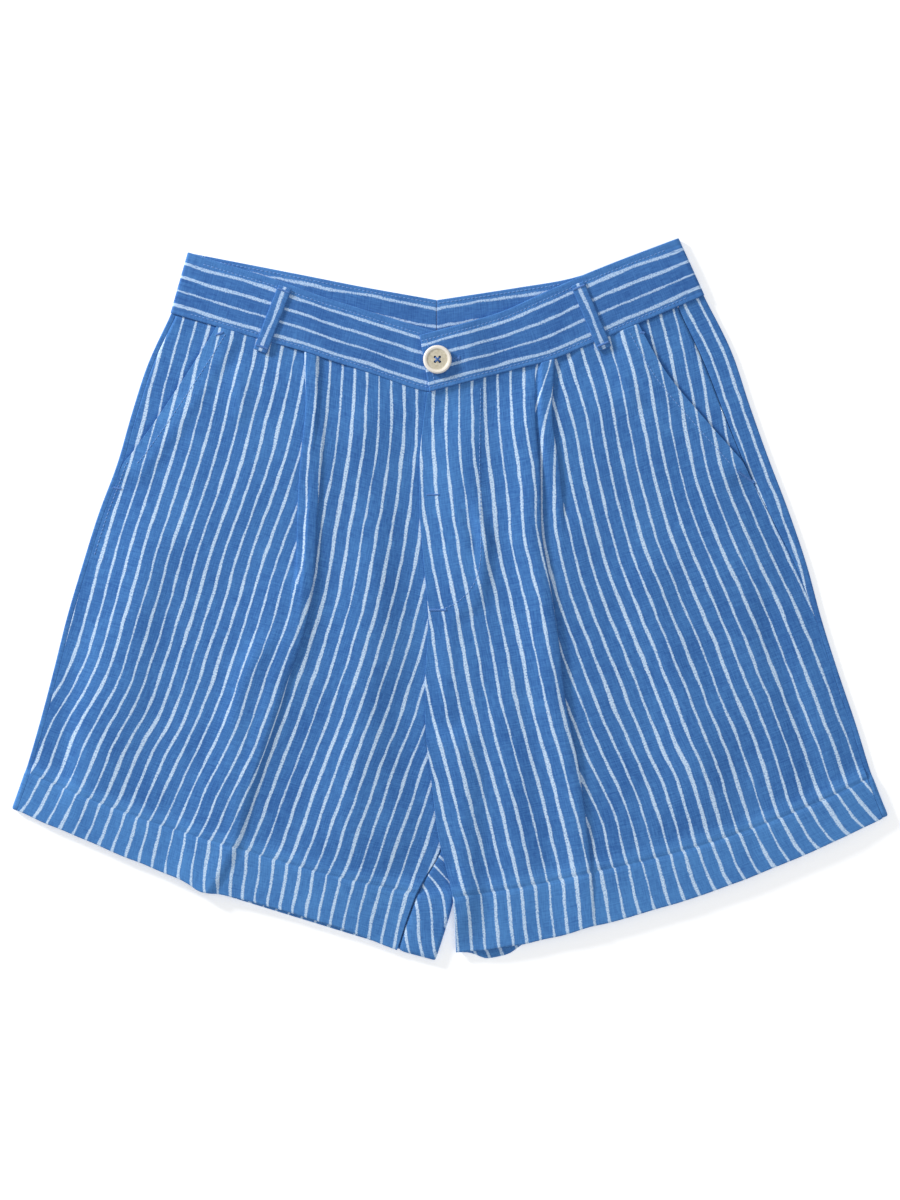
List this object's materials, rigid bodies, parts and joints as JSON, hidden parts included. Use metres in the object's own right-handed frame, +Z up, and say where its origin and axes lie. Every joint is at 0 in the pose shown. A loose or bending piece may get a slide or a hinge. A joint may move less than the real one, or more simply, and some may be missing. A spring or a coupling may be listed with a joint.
{
  "type": "bermuda shorts",
  "caption": "Striped linen bermuda shorts laid flat, with a V-shaped open waist, pleated fronts, slanted pockets and turned-up hems.",
  "frame": {"origin": "on the surface the shorts lie on, at the middle of their outline", "axes": "+X towards the wearer's left (to the right when seen from above), +Y from hem to waist, +Z up from the surface, through the front"},
  "size_m": [0.6122, 0.5053, 0.0099],
  "materials": {
    "linen": "plain-woven linen, blue with uneven pale slub stripes along the leg",
    "band_linen": "the same striped linen, doubled, with the stripes along the band",
    "button": "off-white four-hole button with a raised rim and a mottled centre"
  },
  "bodies": {
    "root": {"front_right_leg": "linen", "front_left_leg": "linen", "back_right_leg": "linen", "back_left_leg": "linen", "waistband_right": "band_linen", "waistband_left": "band_linen", "pocket_bearer_right": "linen", "pocket_bearer_left": "linen", "fly_underlap": "linen", "belt_loop_right": "band_linen", "belt_loop_left": "band_linen", "button": "button"}
  },
  "joints": []
}
